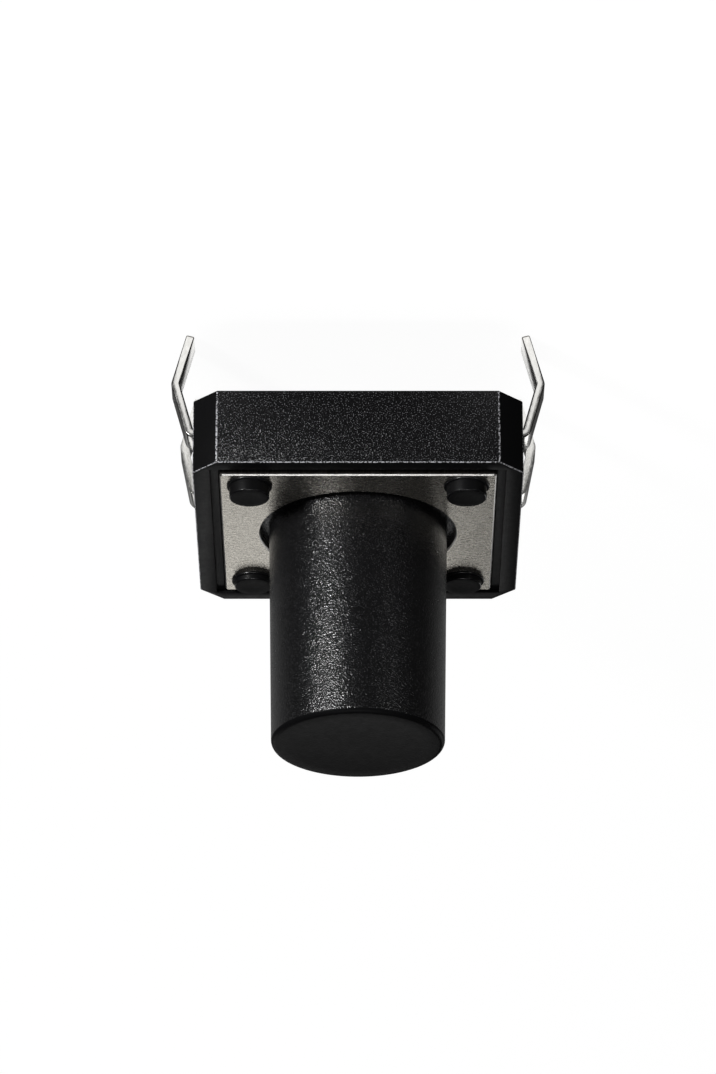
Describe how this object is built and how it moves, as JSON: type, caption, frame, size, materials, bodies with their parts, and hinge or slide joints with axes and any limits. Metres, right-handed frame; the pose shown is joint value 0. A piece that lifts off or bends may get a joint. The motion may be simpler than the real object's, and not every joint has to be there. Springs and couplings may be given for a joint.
{
  "type": "tactile push button switch",
  "caption": "Board-mounted push switch: square chamfered housing, steel cover, long round button and kinked through-hole legs.",
  "frame": {"origin": "centre of the housing's underside, on the circuit board's face", "axes": "+Z along the button, away from the board; the legs leave the -X and +X sides; +Y towards the centre contact's frame"},
  "size_m": [0.0138, 0.012, 0.0153],
  "materials": {
    "housing_plastic": "moulded black, spark-textured on the side walls and smooth on the chamfers and rim",
    "cover_steel": "rolled stainless sheet with a fine grain",
    "button_plastic": "moulded black, fine satin",
    "dome_steel": "bright rolled spring steel",
    "tinned_brass": "bright tin plating over brass strip, slightly mottled"
  },
  "bodies": {
    "housing": {"base": "housing_plastic", "cover_plate": "cover_steel", "snap_dome": "dome_steel", "outer_contact_frame": "tinned_brass", "centre_contact_frame": "tinned_brass"},
    "button": {"push_button": "button_plastic"}
  },
  "joints": [
    {"name": "button_press", "type": "slide", "parent": "housing", "child": "button", "axis": [0, 0, -1], "range_m": [0, 0.0003], "stiffness_N_per_m": 6500, "deforming": ["snap_dome"]}
  ]
}
